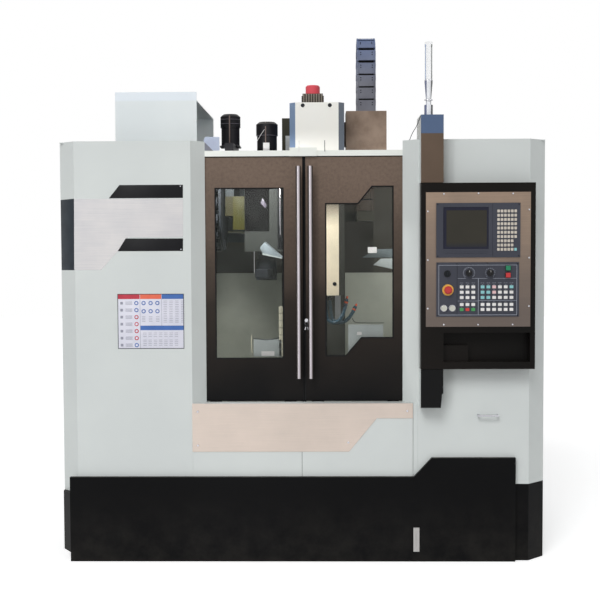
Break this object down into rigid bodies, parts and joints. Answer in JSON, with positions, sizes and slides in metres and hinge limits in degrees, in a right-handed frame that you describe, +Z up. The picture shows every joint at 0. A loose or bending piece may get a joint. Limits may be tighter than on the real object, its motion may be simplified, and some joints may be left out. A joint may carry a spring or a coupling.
{
  "type": "CNC machining center",
  "caption": "Vertical machining centre in a white sheet enclosure with two sliding doors, a swinging control pendant, three screw-driven axes and a side-mounted tool changer.",
  "frame": {"origin": "on the floor under the middle of the whole machine's bounding box", "axes": "+X to the operator's right, +Y away from the operator, +Z up"},
  "size_m": [2.5, 2.3, 2.8299],
  "materials": {
    "cabinet_paint": "satin",
    "stainless": "brushed",
    "plinth_paint": "satin",
    "gauge_plastic": "glossy",
    "inner_paint": "satin",
    "casting": "painted",
    "ground_steel": "ground",
    "motor_paint": "satin",
    "post_paint": "glossy",
    "lens_plastic": "clear",
    "chrome": "polished",
    "brown_paint": "glossy",
    "chain_plastic": "matte",
    "door_paint": "glossy",
    "pane_glass": "clear",
    "bezel_plastic": "matte",
    "screen_glass": "glossy",
    "red_plastic": "glossy",
    "green_plastic": "glossy"
  },
  "bodies": {
    "frame": {"left_wing": "cabinet_paint", "right_wing": "cabinet_paint", "outer_panels": "cabinet_paint", "front_panels": "cabinet_paint", "sill_plate": "stainless", "plinth": "plinth_paint", "level_gauge": "gauge_plastic", "door_rails": "cabinet_paint", "splash_walls": "inner_paint", "bed": "casting", "levelling_feet": "casting", "column": "casting", "frame_guides": "ground_steel", "z_motor": "motor_paint", "y_motor": "motor_paint", "arm_gearbox": "motor_paint", "magazine_bracket": "casting", "magazine_cover": "cabinet_paint", "pendant_posts": "post_paint", "signal_lamp_stem": "motor_paint", "signal_lamp_lens": "lens_plastic", "pull_handle": "chrome", "electrical_cabinet": "cabinet_paint"},
    "saddle": {"saddle": "casting", "saddle_guides": "ground_steel", "x_motor": "motor_paint"},
    "table": {"table": "ground_steel"},
    "y_screw": {"y_screw": "ground_steel"},
    "x_screw": {"x_screw": "ground_steel"},
    "z_screw": {"z_screw": "ground_steel"},
    "head": {"spindle_head": "casting", "head_cover": "cabinet_paint", "cable_box": "brown_paint", "cable_chain": "chain_plastic"},
    "spindle": {"spindle": "ground_steel"},
    "arm_sleeve": {"arm_sleeve": "ground_steel"},
    "change_arm": {"change_arm": "ground_steel"},
    "tool_disc": {"tool_disc": "ground_steel"},
    "change_pot": {"change_pot": "ground_steel"},
    "cabinet_door": {"cabinet_door": "cabinet_paint"},
    "door_left": {"door_left": "door_paint", "window_left": "pane_glass", "handle_left": "chrome"},
    "door_right": {"door_right": "door_paint", "window_right": "pane_glass", "handle_right": "chrome"},
    "pendant": {"pendant_housing": "cabinet_paint", "pendant_plate": "brown_paint", "display_unit": "bezel_plastic", "display_screen": "screen_glass", "operator_panel": "bezel_plastic"},
    "stop_button": {"stop_button": "red_plastic"},
    "mode_knob": {"mode_knob": "bezel_plastic"},
    "feed_knob": {"feed_knob": "bezel_plastic"},
    "start_button": {"start_button": "green_plastic"},
    "pause_button": {"pause_button": "red_plastic"},
    "round_button_left": {"round_button_left": "bezel_plastic"},
    "round_button_right": {"round_button_right": "bezel_plastic"},
    "key_switch": {"key_switch": "chrome"}
  },
  "joints": [
    {"name": "saddle_slide", "type": "slide", "parent": "frame", "child": "saddle", "axis": [0, 1, 0], "range_m": [-0.25, 0.25]},
    {"name": "table_slide", "type": "slide", "parent": "saddle", "child": "table", "axis": [1, 0, 0], "range_m": [-0.4, 0.4]},
    {"name": "head_slide", "type": "slide", "parent": "frame", "child": "head", "axis": [0, 0, 1], "range_m": [-0.22, 0.28], "deforming": ["cable_chain"]},
    {"name": "y_screw_turn", "type": "hinge", "parent": "frame", "child": "y_screw", "pos_m": [0.05, 0, 0.5], "axis": [0, 1, 0], "continuous": true},
    {"name": "x_screw_turn", "type": "hinge", "parent": "saddle", "child": "x_screw", "pos_m": [0.05, -0.288, 0.705], "axis": [1, 0, 0], "continuous": true},
    {"name": "z_screw_turn", "type": "hinge", "parent": "frame", "child": "z_screw", "pos_m": [0.05, 0.287, 1.6], "axis": [0, 0, 1], "continuous": true},
    {"name": "spindle_turn", "type": "hinge", "parent": "head", "child": "spindle", "pos_m": [0.05, -0.288, 1.25], "axis": [0, 0, 1], "continuous": true},
    {"name": "arm_lift", "type": "slide", "parent": "frame", "child": "arm_sleeve", "axis": [0, 0, 1], "range_m": [-0.11, 0]},
    {"name": "arm_turn", "type": "hinge", "parent": "arm_sleeve", "child": "change_arm", "pos_m": [-0.215, -0.288, 1.47], "axis": [0, 0, 1], "range_deg": [0, 38]},
    {"name": "disc_turn", "type": "hinge", "parent": "frame", "child": "tool_disc", "pos_m": [-0.45, -0.288, 1.86], "axis": [1, 0, 0], "continuous": true},
    {"name": "pot_tip", "type": "hinge", "parent": "tool_disc", "child": "change_pot", "pos_m": [-0.48, -0.288, 1.62], "axis": [0, 1, 0], "range_deg": [-90, 0]},
    {"name": "door_left_slide", "type": "slide", "parent": "frame", "child": "door_left", "axis": [1, 0, 0], "range_m": [-0.455, 0]},
    {"name": "door_right_slide", "type": "slide", "parent": "frame", "child": "door_right", "axis": [1, 0, 0], "range_m": [0, 0.455]},
    {"name": "cabinet_door_swing", "type": "hinge", "parent": "frame", "child": "cabinet_door", "pos_m": [-0.356, 1.144, 1.3], "axis": [0, 0, 1], "range_deg": [0, 110]},
    {"name": "pendant_swing", "type": "hinge", "parent": "frame", "child": "pendant", "pos_m": [0.62, -1.043, 1.46], "axis": [0, 0, 1], "range_deg": [-90, 0]},
    {"name": "stop_press", "type": "slide", "parent": "pendant", "child": "stop_button", "axis": [0, 1, 0], "range_m": [0, 0.007]},
    {"name": "mode_turn", "type": "hinge", "parent": "pendant", "child": "mode_knob", "pos_m": [0.838, -1.118, 1.485], "axis": [0, 1, 0], "range_deg": [-135, 135]},
    {"name": "feed_turn", "type": "hinge", "parent": "pendant", "child": "feed_knob", "pos_m": [0.944, -1.118, 1.485], "axis": [0, 1, 0], "range_deg": [-135, 135]},
    {"name": "start_press", "type": "slide", "parent": "pendant", "child": "start_button", "axis": [0, 1, 0], "range_m": [0, 0.004], "stiffness_N_per_m": 300},
    {"name": "pause_press", "type": "slide", "parent": "pendant", "child": "pause_button", "axis": [0, 1, 0], "range_m": [0, 0.004], "stiffness_N_per_m": 300},
    {"name": "round_press_left", "type": "slide", "parent": "pendant", "child": "round_button_left", "axis": [0, 1, 0], "range_m": [0, 0.004], "stiffness_N_per_m": 300},
    {"name": "round_press_right", "type": "slide", "parent": "pendant", "child": "round_button_right", "axis": [0, 1, 0], "range_m": [0, 0.004], "stiffness_N_per_m": 300},
    {"name": "key_turn", "type": "hinge", "parent": "pendant", "child": "key_switch", "pos_m": [0.73, -1.118, 1.481], "axis": [0, 1, 0], "range_deg": [0, 90]}
  ],
  "couplings": [
    {"joint": "y_screw_turn", "follows": "saddle_slide", "rad_per_m": 392.7},
    {"joint": "x_screw_turn", "follows": "table_slide", "rad_per_m": 392.7},
    {"joint": "z_screw_turn", "follows": "head_slide", "rad_per_m": 392.7}
  ]
}
